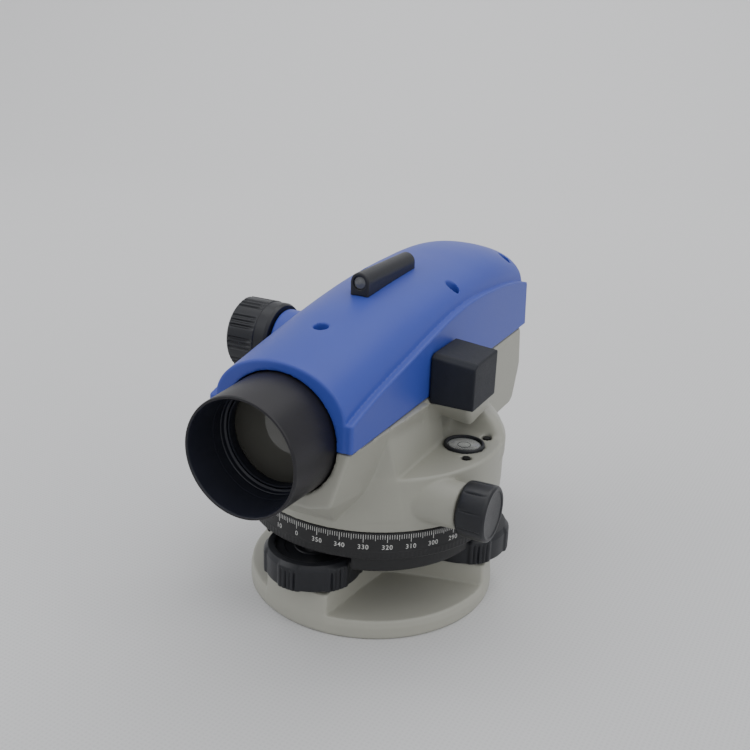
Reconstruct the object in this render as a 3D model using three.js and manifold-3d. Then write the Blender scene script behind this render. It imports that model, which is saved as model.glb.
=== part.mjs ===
// Automatic level (surveying instrument), built as an assembly of separate solids.
// Units are millimetres, +Z is up, the objective looks along -Y, and the observer's
// left-hand side (circular bubble, prism housing) is +X.
// Every dimension below is measured from the vertical rotation axis. The last group moves
// the whole instrument by FRAME_Y, so that the origin is the bottom centre of its box.
import * as THREE from 'three';
import * as BufferGeometryUtils from 'three/addons/utils/BufferGeometryUtils.js';
import Module from 'manifold-3d';

const wasm = await Module();
wasm.setup();

// ---------------------------------------------------------------- driving dimensions
const FRAME_Y = -7;            // vertical axis to the middle of the overall length
const PLATE_R = 55.2;            // foot plate radius
const PLATE_RIM = 8.65;        // height of the foot plate's rim
const LOBE_TOP = 18;           // height of the three foot screw lobes
const TRIPOD_R = 7.3;          // central hole for the 5/8 inch tripod screw
const SCREW_PITCH_R = 40.5;    // foot screw pitch radius
const SCREW_AZ = [-101, 19, 139];
const KNOB_Z0 = 19.5, KNOB_Z1 = 32.2, KNOB_R = 21.4, KNOB_FLAT = 19.5;
const CIRCLE_R = 56, CIRCLE_Z0 = 38.4, CIRCLE_Z1 = 50.5;
const DRUM_R = 56.4, DRUM_Z0 = 50.9, DRUM_TOP = 75;
const AX = 99.3;               // height of the optical axis
const SPLIT = 97.6;            // casting to cover joint
const BODY_X = 30;             // half width of the casting
const FLANGE_X = 30.8;         // half width over the cover's flanges
const FRONT_Y = -80.7, REAR_Y = 106.0, REAR_LEAN = 0.11;   // rear face leans forward as it rises
const HOOD_Y = -105.9, HOOD_R = 22.8, HOOD_R2 = 23.9;
const EYE_Y = 119.9;           // rear end of the dioptre ring
const TAN_Y = -32, TAN_Z = 62.5, TAN_R = 11.5, TAN_X0 = 56.2, TAN_X1 = 68.4;
const FOC_Y = -14.3, FOC_Z = 110.2, FOC_R = 15.9, FOC_X0 = 38.8, FOC_X1 = 59.0;
const VIAL = [42.3, -0.9], VIAL_R = 8.3;
const WALL = 2.6;

// ---------------------------------------------------------------- materials
const mat = (hex, roughness, metalness, extra = {}) => new THREE.MeshStandardMaterial({ color: hex, roughness, metalness, ...extra });
const M = {
  cover: mat(0x3f64b4, 0.45, 0.0), casting: mat(0x8f9086, 0.55, 0.1), black: mat(0x1c1d20, 0.5, 0.0),
  anodised: mat(0x17181a, 0.45, 0.6), steel: mat(0xb4b6b8, 0.3, 1.0), brass: mat(0xb08d4a, 0.35, 1.0),
  bronze: mat(0x9a6b3c, 0.4, 1.0), glass: mat(0xbfd4cc, 0.05, 0.0, { transparent: true, opacity: 0.35 }),
  alu: mat(0xa8abad, 0.4, 1.0), spring: mat(0x77797c, 0.35, 1.0), magnet: mat(0x55585c, 0.4, 0.9),
};

// ---------------------------------------------------------------- solid helpers
function toManifold(geometry) {
  let g = geometry.clone();
  if (g.index) g = g.toNonIndexed();
  const clean = new THREE.BufferGeometry();
  clean.setAttribute('position', g.getAttribute('position').clone());
  const merged = BufferGeometryUtils.mergeVertices(clean, 1e-4);
  const pos = merged.getAttribute('position').array;
  const idx = merged.index.array;
  const tri = [];
  for (let i = 0; i < idx.length; i += 3) {
    const [a, b, c] = [idx[i], idx[i + 1], idx[i + 2]];
    if (a !== b && b !== c && a !== c) tri.push(a, b, c);
  }
  let volume = 0;
  for (let i = 0; i < tri.length; i += 3) {
    const [a, b, c] = [tri[i] * 3, tri[i + 1] * 3, tri[i + 2] * 3];
    volume += pos[a] * (pos[b + 1] * pos[c + 2] - pos[b + 2] * pos[c + 1])
      - pos[a + 1] * (pos[b] * pos[c + 2] - pos[b + 2] * pos[c])
      + pos[a + 2] * (pos[b] * pos[c + 1] - pos[b + 1] * pos[c]);
  }
  if (volume < 0) for (let i = 0; i < tri.length; i += 3) [tri[i + 1], tri[i + 2]] = [tri[i + 2], tri[i + 1]];
  return new wasm.Manifold(new wasm.Mesh({ numProp: 3, vertProperties: new Float32Array(pos), triVerts: new Uint32Array(tri) }));
}
function toGeometry(solid) {
  const m = solid.getMesh();
  const g = new THREE.BufferGeometry();
  g.setAttribute('position', new THREE.BufferAttribute(new Float32Array(m.vertProperties), 3));
  g.setIndex(new THREE.BufferAttribute(new Uint32Array(m.triVerts), 1));
  g.computeVertexNormals();
  return g;
}
const Q = 0.5;                 // facets per turn, as a share of the fine count
const facets = (n) => Math.max(n > 16 ? 12 : 8, 2 * Math.round(n * Q / 2));
const move = (g, x = 0, y = 0, z = 0) => g.translate(x, y, z);
const box = (x0, x1, y0, y1, z0, z1) => toManifold(move(new THREE.BoxGeometry(x1 - x0, y1 - y0, z1 - z0), (x0 + x1) / 2, (y0 + y1) / 2, (z0 + z1) / 2));
// turned piece about +Z: profile of [radius, z]
const turnZ = (profile, seg = 48) => {
  const g = new THREE.LatheGeometry(profile.map(([r, h]) => new THREE.Vector2(r, h)), facets(seg));
  return toManifold(g.rotateX(Math.PI / 2));
};
// turned piece about the optical axis: profile of [radius, y]
const turnY = (profile, seg = 48, x = 0, z = AX) => {
  const g = new THREE.LatheGeometry(profile.map(([r, h]) => new THREE.Vector2(r, h)), facets(seg));
  return toManifold(move(g, x, 0, z));
};
// turned piece about an axis along X: profile of [radius, x]
const turnX = (profile, seg, y, z) => {
  const g = new THREE.LatheGeometry(profile.map(([r, h]) => new THREE.Vector2(r, h)), facets(seg));
  return toManifold(move(g.rotateZ(-Math.PI / 2), 0, y, z));
};
const rodZ = (r, z0, z1, x = 0, y = 0, seg = 24) => toManifold(move(new THREE.CylinderGeometry(r, r, z1 - z0, facets(seg)).rotateX(Math.PI / 2), x, y, (z0 + z1) / 2));
const rodY = (r, y0, y1, x = 0, z = AX, seg = 32) => toManifold(move(new THREE.CylinderGeometry(r, r, y1 - y0, facets(seg)), x, (y0 + y1) / 2, z));
const rodX = (r, x0, x1, y, z, seg = 32) => toManifold(move(new THREE.CylinderGeometry(r, r, x1 - x0, facets(seg)).rotateZ(Math.PI / 2), (x0 + x1) / 2, y, z));
const shapeOf = (pts) => new THREE.Shape(pts.map(([a, b]) => new THREE.Vector2(a, b)));
const extrudeZ = (pts, z0, z1) => toManifold(move(new THREE.ExtrudeGeometry(shapeOf(pts), { depth: z1 - z0, bevelEnabled: false }), 0, 0, z0));
// outline in (y, z), extruded along X
const extrudeX = (pts, x0, x1) => {
  const g = new THREE.ExtrudeGeometry(shapeOf(pts), { depth: x1 - x0, bevelEnabled: false });
  g.rotateZ(Math.PI / 2); g.rotateY(Math.PI / 2);
  return toManifold(move(g, x0, 0, 0));
};
// outline in (x, z), extruded along Y
const extrudeY = (pts, y0, y1, steps = 1) => {
  const g = new THREE.ExtrudeGeometry(shapeOf(pts), { depth: y1 - y0, bevelEnabled: false, steps });
  g.rotateX(Math.PI / 2);
  return toManifold(move(g, 0, y1, 0));
};
const spin = (solid, deg) => solid.rotate([0, 0, deg]);
const at = (az, r) => [r * Math.cos(az * Math.PI / 180), r * Math.sin(az * Math.PI / 180)];
const lerpTable = (t, x) => {
  if (x <= t[0][0]) return t[0][1];
  for (let i = 1; i < t.length; i++) if (x <= t[i][0]) {
    const [a, b] = [t[i - 1], t[i]];
    return a[1] + (b[1] - a[1]) * (x - a[0]) / (b[0] - a[0]);
  }
  return t[t.length - 1][1];
};

// ---------------------------------------------------------------- nested groups, one per moving body
const group = (name) => { const g = new THREE.Group(); g.name = name; return g; };
const instrument = group('automatic_level');
const frame = group('frame'); frame.position.y = FRAME_Y; instrument.add(frame);
const bodies = {};
for (const n of ['base', 'foot_screw_1', 'foot_screw_2', 'foot_screw_3', 'head', 'circle', 'alidade', 'worm_wheel_body',
  'tangent_drive', 'focus_drive', 'focus_slide', 'pendulum', 'dioptre', 'eyepiece_slide']) { bodies[n] = group(n); frame.add(bodies[n]); }
function part(body, name, solid, material) {
  const mesh = new THREE.Mesh(toGeometry(solid), material);
  mesh.name = name;
  bodies[body].add(mesh);
  return mesh;
}

// ================================================================ base
{
  let plate = turnZ([[TRIPOD_R, 0], [PLATE_R - 0.8, 0], [PLATE_R, 0.8], [PLATE_R, 5.6], [PLATE_R - 0.5, 7.6], [PLATE_R - 1.9, PLATE_RIM], [TRIPOD_R, PLATE_RIM], [TRIPOD_R, 0]], 88);
  const lobeCap = turnZ([[0, 1], [PLATE_R - 0.6, 1], [PLATE_R - 0.7, 16.6], [PLATE_R - 2.0, LOBE_TOP], [0, LOBE_TOP], [0, 1]], 88);
  let lobes = null;
  for (const az of SCREW_AZ) {
    const l = spin(extrudeZ([[0, -13.5], [24, -14.4], [60, -17.6], [60, 17.6], [24, 14.4], [0, 13.5]], 4, LOBE_TOP + 4), az);
    lobes = lobes ? lobes.add(l) : l;
  }
  plate = plate.add(lobes.intersect(lobeCap)).subtract(rodZ(TRIPOD_R, -5, 30, 0, 0, 72));
  for (const az of SCREW_AZ) {
    const [x, y] = at(az, SCREW_PITCH_R);
    plate = plate.subtract(turnZ([[0, 7.2], [2.5, 7.6], [4.6, 9.4], [5.5, 12.2], [5.5, 30], [0, 30], [0, 7.2]], 24).translate([x, y, 0]));
    const [sx, sy] = at(az + 60, 12.2);
    plate = plate.subtract(rodZ(1.25, 10, 30, sx, sy, 10));
  }
  part('base', 'foot_plate', plate, M.casting);

  let star = rodZ(15.4, 18.3, 19.1, 0, 0, 36);
  for (const az of SCREW_AZ) star = star.add(spin(extrudeZ([[0, -6], [44, -5], [46, -3], [46, 3], [44, 5], [0, 6]], 18.3, 19.1), az));
  star = star.subtract(rodZ(TRIPOD_R, 10, 30, 0, 0, 36));
  for (const az of SCREW_AZ) {
    const [x, y] = at(az, SCREW_PITCH_R);
    star = star.subtract(rodZ(3.5, 10, 30, x, y, 20));
    const [sx, sy] = at(az + 60, 12.2);
    star = star.subtract(rodZ(1.4, 10, 30, sx, sy, 12));
  }
  part('base', 'spring_plate', star, M.spring);
  SCREW_AZ.forEach((az, i) => {
    const [sx, sy] = at(az + 60, 12.2);
    part('base', `spring_plate_screw_${i + 1}`, turnZ([[0, 12], [0.95, 12], [0.95, 19.4], [2.3, 19.4], [2.3, 20.3], [1.8, 20.8], [0, 20.8], [0, 12]], 12).translate([sx, sy, 0]), M.steel);
  });
}

// ================================================================ foot screws
SCREW_AZ.forEach((az, i) => {
  const [x, y] = at(az, SCREW_PITCH_R);
  const body = `foot_screw_${i + 1}`;
  part(body, `foot_screw_stem_${i + 1}`, turnZ([[0, 7.6], [2.2, 8.0], [4.0, 9.3], [5.0, 12.0], [4.5, 15.0], [3.1, 17.2], [3.1, 20.2], [4.0, 20.8], [4.0, 38.0], [3.4, 38.6], [0, 38.6], [0, 7.6]], 20).translate([x, y, 0]), M.steel);
  const outline = (flat, r) => {
    const pts = [];
    for (let k = 0; k < 6; k++) for (let j = -1; j <= 1; j++) {
      const a = (60 * k - 37 + 10 * j) * Math.PI / 180;
      pts.push([r * Math.cos(a), r * Math.sin(a)]);
    }
    return pts;
  };
  let knob = extrudeZ(outline(KNOB_FLAT, KNOB_R), KNOB_Z0, KNOB_Z1);
  knob = knob.intersect(turnZ([[0, KNOB_Z0], [20.4, KNOB_Z0], [22, KNOB_Z0 + 1.2], [22, KNOB_Z1 - 2.4], [19.0, KNOB_Z1], [0, KNOB_Z1], [0, KNOB_Z0]], 48));
  knob = knob.subtract(rodZ(16.4, KNOB_Z1 - 1.2, 50, 0, 0, 36)).subtract(rodZ(4.35, 0, 60, 0, 0, 20));
  part(body, `foot_screw_knob_${i + 1}`, knob.translate([x, y, 0]), M.black);
});

// ================================================================ levelling head
{
  let head = turnZ([[9.9, 25], [14, 25], [14, 35], [50, 35], [50, 38.0], [46.6, 38.0], [46.6, 41.2], [45.0, 41.2], [45.0, 38.0], [9.9, 38.0], [9.9, 25]], 60);
  let skirt = turnZ([[46.5, 29.2], [49.4, 29.2], [50, 30], [50, 36], [46.5, 36], [46.5, 29.2]], 60);
  for (const az of SCREW_AZ) {
    const [x, y] = at(az, SCREW_PITCH_R);
    skirt = skirt.subtract(rodZ(23.4, 20, 34.99, x, y, 40));
  }
  head = head.add(skirt);
  for (const az of SCREW_AZ) {
    const [x, y] = at(az, SCREW_PITCH_R);
    head = head.subtract(rodZ(6.5, 20, 60, x, y, 24).intersect(box(-80, 80, -80, 80, 20, 40)).subtract(turnZ([[44.7, 30], [50, 30], [50, 60], [44.7, 60], [44.7, 30]], 60)));
  }
  for (const az of SCREW_AZ) {
    const [x, y] = at(az, SCREW_PITCH_R);
    head = head.subtract(rodZ(4.8, 20, 60, x, y, 24));
  }
  part('head', 'levelling_head', head, M.black);
  SCREW_AZ.forEach((az, i) => {
    const [x, y] = at(az, SCREW_PITCH_R);
    let nut = rodZ(6.1, 34.6, 38.2, x, y, 24).subtract(turnZ([[44.4, 30], [60, 30], [60, 60], [44.4, 60], [44.4, 30]], 60)).subtract(rodZ(4.4, 0, 60, x, y, 20));
    nut = nut.subtract(box(-80, 80, -80, 80, 0, 0.1));
    part('head', `foot_screw_nut_${i + 1}`, nut, M.brass);
  });
  part('head', 'spindle', turnZ([[0, 26], [9.5, 26], [9.5, 38.4], [19, 38.4], [19, 41.4], [9.5, 41.4], [9.5, 80.2], [8.7, 81], [0, 81], [0, 26]], 40), M.steel);
}

// ================================================================ horizontal circle
part('circle', 'horizontal_circle', turnZ([[47.0, CIRCLE_Z0], [CIRCLE_R - 0.8, CIRCLE_Z0], [CIRCLE_R, CIRCLE_Z0 + 0.8], [CIRCLE_R, CIRCLE_Z1 - 0.8], [CIRCLE_R - 0.8, CIRCLE_Z1], [52.8, CIRCLE_Z1], [52.8, 41.6], [47.0, 41.6], [47.0, CIRCLE_Z0]], 96), M.black);

// ================================================================ casting
{
  let drum = turnZ([[0, DRUM_Z0], [DRUM_R - 1.2, DRUM_Z0], [DRUM_R - 0.4, 52.6], [DRUM_R, 58], [DRUM_R, 71], [DRUM_R - 1.0, 73.8], [DRUM_R - 2.6, DRUM_TOP], [0, DRUM_TOP], [0, DRUM_Z0]], 72);
  // telescope body: long trough with chamfered lower edges
  const upper = extrudeY([[-BODY_X, SPLIT], [-BODY_X, 78], [-BODY_X + 1.6, 74], [-BODY_X + 5, 71.4], [BODY_X - 5, 71.4], [BODY_X - 1.6, 74], [BODY_X, 78], [BODY_X, SPLIT]], -20, 99.6)
    .intersect(extrudeX([[-20, SPLIT], [-20, 70], [101, 70], [101.2, 74], [97.8, SPLIT]], -40, 40));
  // in front the drum's wall carries on up to the cover
  const tall = turnZ([[0, 60], [DRUM_R - 0.4, 60], [DRUM_R - 0.2, 75], [57.2, 92], [57.6, SPLIT], [0, SPLIT], [0, 60]], 72).intersect(box(-BODY_X, BODY_X, -70, 0, 60, SPLIT));
  // chin below the objective: narrower than the cover, keel-shaped underneath
  const chin = extrudeX([[FRONT_Y + 0.2, SPLIT], [FRONT_Y + 0.2, 73.5], [FRONT_Y + 2.6, 70.6], [-56.4, 51.9], [-54, DRUM_Z0], [0, DRUM_Z0], [0, SPLIT]], -32, 32)
    .intersect(extrudeY([[-29.8, SPLIT], [-23.6, 74.5], [-22.4, 71], [-12, 53.2], [-8, DRUM_Z0], [8, DRUM_Z0], [12, 53.2], [22.4, 71], [23.6, 74.5], [29.8, SPLIT]], -90, 10));
  // raised wall behind the bubble
  const shoulder = turnZ([[0, 70], [DRUM_R - 1, 70], [DRUM_R - 1, 76], [DRUM_R - 2.6, 81.6], [DRUM_R - 5, 84], [0, 84], [0, 70]], 72)
    .intersect(extrudeX([[9, 70], [11, 75], [17, 84.2], [60, 84.2], [60, 70]], -60, 60));
  // box below the eyepiece end
  const rearBox = extrudeX([[36, 57.6], [70, 58.4], [92.6, 58.4], [95.8, 60.4], [101, 72], [101.2, 76], [98.4, 94], [40, 94]], -BODY_X + 0.2, BODY_X - 0.2);
  const bossR = rodX(9.4, 0, TAN_X0 - 1.2, TAN_Y, TAN_Z, 32).add(rodX(9.4, -TAN_X0 + 1.2, 0, TAN_Y, TAN_Z, 32)).intersect(box(-80, 80, -80, 80, DRUM_Z0, 90));
  // wedge under the prism housing
  const bracket = extrudeX([[-13, 95.4], [8.6, 95.4], [3.6, 83], [0.4, 83]], 28, 44).intersect(extrudeY([[28, 95.4], [48, 95.4], [44, 88], [40, 82], [28, 82]], -20, 20));
  let solid = drum.add(upper).add(tall).add(chin).add(shoulder).add(rearBox).add(bossR).add(bracket);
  // hollow: drum cavity open below, telescope cavity open above
  solid = solid.subtract(rodZ(51.9, 40, 71, 0, 0, 60));
  const roomCap = rodZ(53, 60, 120, 0, 0, 72).add(box(-30, 30, 0, 100, 60, 120));
  solid = solid.subtract(extrudeX([[-54, 75], [94.6, 75], [94.6, 110], [-54, 110]], -27.2, 27.2).intersect(roomCap));
  solid = solid.subtract(rodY(20.6, FRONT_Y - 5, -44, 0, AX, 48));
  solid = solid.subtract(box(-25.6, 25.6, 57, 92, 61, 80));
  // bearing boss for the spindle
  solid = solid.add(rodZ(17, 65, 82, 0, 0, 40)).subtract(rodZ(12.8, 50, 90, 0, 0, 40));
  // front and rear bores on the optical axis
  solid = solid.subtract(rodY(24.5, FRONT_Y - 5, -69.4, 0, AX, 56)).subtract(rodY(13.6, 90, 110, 0, AX, 40));
  // tangent shaft bores; inner bosses carry on to the worm
  solid = solid.subtract(rodX(3.4, -70, 70, TAN_Y, TAN_Z, 20));
  // bubble pocket and adjusting screw holes
  solid = solid.subtract(rodZ(VIAL_R + 0.5, 72.2, 79, VIAL[0], VIAL[1], 40));
  for (const s of [-1, 1]) solid = solid.subtract(rodZ(2.0, 71.9, 90, VIAL[0] + 5.7, VIAL[1] + s * 11.7, 14)).subtract(rodZ(1.1, 60, 90, VIAL[0] + 5.7, VIAL[1] + s * 11.7, 10));
  part('alidade', 'housing', solid, M.casting);

  part('alidade', 'spindle_bearing', turnZ([[10.0, 65.2], [12.3, 65.2], [12.3, 81.6], [10.0, 81.6], [10.0, 65.2]], 40), M.bronze);
}

// ================================================================ blue top cover
{
  // centre line height of the hump and height of the flange, along the length
  const HUMP = [[-80.7, 127.5], [-65, 130.2], [-50, 132.7], [-35, 135.3], [-20, 137.2], [0, 138.8], [25, 140.2], [45, 141.2], [62, 141.6], [74, 141.2], [86, 139.6], [96, 137.2], [102, 135.4], [106, 134.0]];
  const FLANGE = [[-80.7, 108.7], [-65, 113], [-51, 116], [-34, 119.2], [-18.5, 122.2], [-8, 124.1], [8, 126.6], [29.5, 128.2], [53, 127.4], [70, 126], [88, 123.4], [103, 120.0], [106, 119.2]];
  const Z0 = SPLIT + 0.3;
  const hump = (inset, y0, y1, steps) => {
    const a = 27.6 - inset;
    const pts = [[-a, 0]];
    const n = inset ? 4 : 6;
    for (let i = 0; i <= 2 * n; i++) {
      const t = Math.PI - Math.PI * i / (2 * n);
      const c = Math.cos(t), s = Math.sin(t);
      pts.push([a * Math.sign(c) * Math.pow(Math.abs(c), 0.72), 0.42 + 0.58 * Math.pow(Math.abs(s), 0.78)]);
    }
    pts.push([a, 0]);
    // unit section (z from 0 to 1), stretched at each station to the local height
    const g = new THREE.ExtrudeGeometry(shapeOf(pts), { depth: y1 - y0, bevelEnabled: false, steps });
    g.rotateX(Math.PI / 2); move(g, 0, y1, 0);
    const p = g.getAttribute('position');
    for (let i = 0; i < p.count; i++) {
      const top = lerpTable(HUMP, p.getY(i)) - inset;
      p.setZ(i, Z0 - (inset ? 8 : 0) + p.getZ(i) * (top - Z0 + (inset ? 8 : 0)));
    }
    return toManifold(g);
  };
  const side = (inset) => {
    const line = FLANGE.map(([y, z]) => [y, z - inset]);
    return extrudeX([[FRONT_Y, Z0], ...line, [REAR_Y, Z0]], -FLANGE_X + inset, FLANGE_X - inset);
  };
  let cover = hump(0, FRONT_Y, REAR_Y, 15).add(side(0));
  let inner = hump(WALL, FRONT_Y + 3, REAR_Y - 2.6, 8).add(extrudeX([[FRONT_Y + 3, 80], [FRONT_Y + 3, 104], [-40, 112], [0, 120], [92, 116], [REAR_Y - 3.6, 108], [REAR_Y - 2.6, 80]], -27.6, 27.6));
  const trim = extrudeX([[-90, 80], [REAR_Y + REAR_LEAN * 18, 80], [REAR_Y - REAR_LEAN * 52, 150], [-90, 150]], -60, 60);
  const outer = hump(0, FRONT_Y, REAR_Y, 15).intersect(trim);
  cover = cover.intersect(trim);
  inner = inner.intersect(trim.translate([0, -WALL, 0]));
  // focusing drive collar on the far side
  cover = cover.add(rodX(13.4, -FOC_X0 + 0.6, -26.5, FOC_Y, FOC_Z, 36).intersect(box(-60, 0, -60, 60, Z0, 140)));
  cover = cover.subtract(inner);
  cover = cover.subtract(rodY(24.5, FRONT_Y - 5, FRONT_Y + 11.3, 0, AX, 56)).subtract(rodY(13.6, 90, 120, 0, AX, 40));
  cover = cover.subtract(rodX(6.4, -60, -20, FOC_Y, FOC_Z, 24));
  // screw posts with counterbores
  const POSTS = [[0, -50.5], [22.4, 23.6], [-22.4, 23.6], [20.4, 93.5], [-20.4, 93.5]];
  const seat = [127.2, 128.2, 128.2, 126.0, 126.0];
  POSTS.forEach(([x, y], i) => { cover = cover.add(rodZ(4.3, seat[i] - 3, 145, x, y, 20).intersect(outer)); });
  for (const [x, y] of POSTS) cover = cover.subtract(rodZ(1.5, 90, 150, x, y, 12));
  POSTS.forEach(([x, y], i) => { cover = cover.subtract(rodZ(2.9, seat[i], 160, x, y, 16)); });
  part('alidade', 'top_cover', cover, M.cover);
  POSTS.forEach(([x, y], i) => {
    part('alidade', `cover_screw_${i + 1}`, turnZ([[0, seat[i] - 9], [1.15, seat[i] - 9], [1.15, seat[i] + 0.3], [2.5, seat[i] + 0.3], [2.5, seat[i] + 1.6], [0, seat[i] + 1.6], [0, seat[i] - 9]], 12).translate([x, y, 0]), M.steel);
  });

  // peep sight on the crown of the cover
  const arch = (w, z0, z1) => { const pts = [[-w, z0]]; for (let i = 0; i <= 10; i++) { const t = Math.PI - Math.PI * i / 10; pts.push([w * Math.cos(t), z1 - w + w * Math.sin(t)]); } pts.push([w, z0]); return pts; };
  let sight = extrudeY(arch(4.1, 130, 146.8), -20.2, 24.4);
  const under = [];
  for (let y = -22; y <= 26; y += 4) under.push([y, lerpTable(HUMP, y) + 0.35]);
  sight = sight.subtract(extrudeX([[-22, 120], ...under, [26, 120]], -8, 8));
  sight = sight.subtract(rodY(2.75, -30, 40, 0, 142.3 + 0.25, 20));
  part('alidade', 'peep_sight', sight, M.black);
  part('alidade', 'peep_sight_front_lens', rodY(2.4, -19.6, -18.2, 0, 142.55, 16), M.glass);
}

// ================================================================ objective end
part('alidade', 'objective_hood', turnY([[HOOD_R, HOOD_Y], [HOOD_R2, FRONT_Y - 1], [HOOD_R2, -70], [20.0, -70], [20.0, -84.4], [20.9, -85.0], [21.5, HOOD_Y], [HOOD_R, HOOD_Y]], 64), M.anodised);
part('alidade', 'objective_retaining_ring', turnY([[18.3, -84.2], [19.6, -84.2], [19.6, -80.6], [18.5, -80.6], [18.3, -84.2]], 48), M.anodised);
part('alidade', 'objective_lens', turnY([[0, -83.6], [5, -83.4], [10, -82.7], [15.2, -81.2], [17.8, -80.2], [19.4, -80.2], [19.4, -74.2], [12, -73.4], [0, -73.0], [0, -83.6]], 40), M.glass);
{
  let tube = turnY([[15.6, -69.7], [19.8, -69.7], [19.8, -66], [14.6, -60], [14.6, 36], [11.3, 36], [11.3, -58], [15.6, -66], [15.6, -69.7]], 40);
  tube = tube.subtract(box(-30, -9.4, -42, 34, AX + 2.6, AX + 7.6));
  part('alidade', 'telescope_tube', tube, M.anodised);
}

// ================================================================ focusing drive
const PINION_R = 4.0, PINION_N = 12, PITCH = 2 * Math.PI * PINION_R / PINION_N;
{
  const gear = [];
  for (let k = 0; k < PINION_N; k++) {
    const a0 = 2 * Math.PI * k / PINION_N - Math.PI / 2;
    for (const [da, r] of [[-0.13, 3.25], [-0.065, 4.4], [0.065, 4.4], [0.13, 3.25]]) gear.push([r * Math.cos(a0 + da), r * Math.sin(a0 + da)]);
  }
  const pinion = extrudeX(gear.map(([a, b]) => [a + FOC_Y, b + FOC_Z]), -20.4, -15.4);
  const shaft = rodX(2.6, -FOC_X1 + 6, -15.4, FOC_Y, FOC_Z, 20).add(pinion);
  part('focus_drive', 'focus_pinion_shaft', shaft, M.steel);
  part('alidade', 'focus_bush', turnX([[2.95, -37.6], [6.05, -37.6], [6.05, -22.6], [2.95, -22.6], [2.95, -37.6]], 24, FOC_Y, FOC_Z), M.brass);
  const knob = turnX([[0, -FOC_X1], [14.4, -FOC_X1], [FOC_R - 0.1, -FOC_X1 + 1.0], [FOC_R, -FOC_X1 + 1.4], [FOC_R, -40.2], [FOC_R - 0.8, -FOC_X0], [2.95, -FOC_X0], [2.95, -FOC_X1 + 5.6], [0, -FOC_X1 + 5.6], [0, -FOC_X1]], 48, FOC_Y, FOC_Z);
  part('focus_drive', 'focus_knob', knob, M.black);

  // focusing lens cell with its rack beside the telescope tube
  let cell = turnY([[7.6, -27], [10.9, -27], [10.9, -1], [7.6, -1], [7.6, -8], [8.6, -8], [8.6, -20], [7.6, -20], [7.6, -27]], 36);
  cell = cell.add(box(-20.2, -9.2, -24, -4, AX + 3.4, AX + 5.0)).add(box(-20.2, -15.6, -33, 5, AX + 3.4, FOC_Z - 4.9));
  const teeth = [[-32.9, FOC_Z - 5.2]];
  for (let k = -8; k <= 8; k++) {
    const c = FOC_Y + (k + 0.5) * PITCH;
    if (c - 0.7 < -32.6 || c + 0.7 > 4.6) continue;
    teeth.push([c - 0.5, FOC_Z - 4.9], [c - 0.26, FOC_Z - 3.65], [c + 0.26, FOC_Z - 3.65], [c + 0.5, FOC_Z - 4.9]);
  }
  teeth.push([4.9, FOC_Z - 4.9], [4.9, FOC_Z - 5.2]);
  cell = cell.add(extrudeX(teeth, -20.2, -15.6));
  part('focus_slide', 'focusing_lens_cell', cell, M.brass);
  part('focus_slide', 'focusing_lens', turnY([[0, -12.6], [8.3, -10.4], [8.3, -17.6], [0, -15.4], [0, -12.6]], 32), M.glass);
}

// ================================================================ compensator
{
  const Y0 = 58;
  let fr = box(-20, 20, Y0 - 17, Y0 + 17, 76.2, 79.2).add(box(-20, -17, Y0 - 8, Y0 + 8, 79, 122)).add(box(17, 20, Y0 - 8, Y0 + 8, 79, 122)).add(box(-20, 20, Y0 - 3, Y0 + 3, 119, 122));
  fr = fr.add(box(-12, 12, Y0 - 17, Y0 - 15, 79, 88)).add(box(-12, 12, Y0 + 15, Y0 + 17, 79, 88));
  part('alidade', 'compensator_frame', fr, M.alu);
  // fixed prisms either side of the pendulum
  part('alidade', 'compensator_front_prism', extrudeX([[Y0 - 16.6, 88.4], [Y0 - 9.2, 88.4], [Y0 - 9.2, 110], [Y0 - 16.6, 110]], -8, 8), M.glass);
  part('alidade', 'compensator_rear_prism', extrudeX([[Y0 + 9.2, 88.4], [Y0 + 16.6, 88.4], [Y0 + 16.6, 110], [Y0 + 9.2, 110]], -8, 8), M.glass);
  // pendulum, hung on four crossed wires
  const arm = box(-11, 11, Y0 - 6, Y0 + 6, 84.5, 90).add(box(-11, -8.8, Y0 - 4, Y0 + 4, 84.5, 108)).add(box(8.8, 11, Y0 - 4, Y0 + 4, 84.5, 108)).add(box(-4, 4, Y0 - 4, Y0 + 4, 82.0, 85));
  part('pendulum', 'pendulum_arm', arm, M.alu);
  part('pendulum', 'pendulum_prism', extrudeX([[Y0 - 7.5, 90.4], [Y0 + 7.5, 90.4], [Y0 + 1.5, 108], [Y0 - 1.5, 108]], -8.3, 8.3), M.glass);
  [-1, 1].forEach((sx, i) => {
    part('alidade', `suspension_tape_${i + 1}`, box(sx * 9.9 - 0.2, sx * 9.9 + 0.2, Y0 - 2.2, Y0 + 2.2, 108.4, 118.7), M.steel);
  });
  part('alidade', 'damping_magnet', box(-5, 5, Y0 - 5, Y0 + 5, 79.5, 81.3), M.magnet);
}

// ================================================================ reticle and eyepiece
part('alidade', 'reticle_ring', turnY([[4.6, 84.6], [11.6, 84.6], [11.6, 89.4], [5.4, 89.4], [5.4, 87.2], [4.6, 87.2], [4.6, 84.6]], 32), M.brass);
part('alidade', 'reticle_glass', rodY(5.1, 87.5, 88.9, 0, AX, 24), M.glass);
part('alidade', 'eyepiece_barrel', turnY([[8.4, 90], [13.2, 90], [13.2, 106], [11.4, 106], [11.4, 117.6], [8.4, 117.6], [8.4, 90]], 40), M.anodised);
part('eyepiece_slide', 'eyepiece_cell', turnY([[5.4, 96], [8.0, 96], [8.0, 116.0], [5.4, 116.0], [5.4, 114.4], [6.6, 114.4], [6.6, 98.4], [5.4, 98.4], [5.4, 96]], 32), M.anodised);
part('eyepiece_slide', 'eyepiece_lens', turnY([[0, 108.8], [6.2, 110], [6.2, 113.4], [0, 114.2], [0, 108.8]], 24), M.glass);
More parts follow.
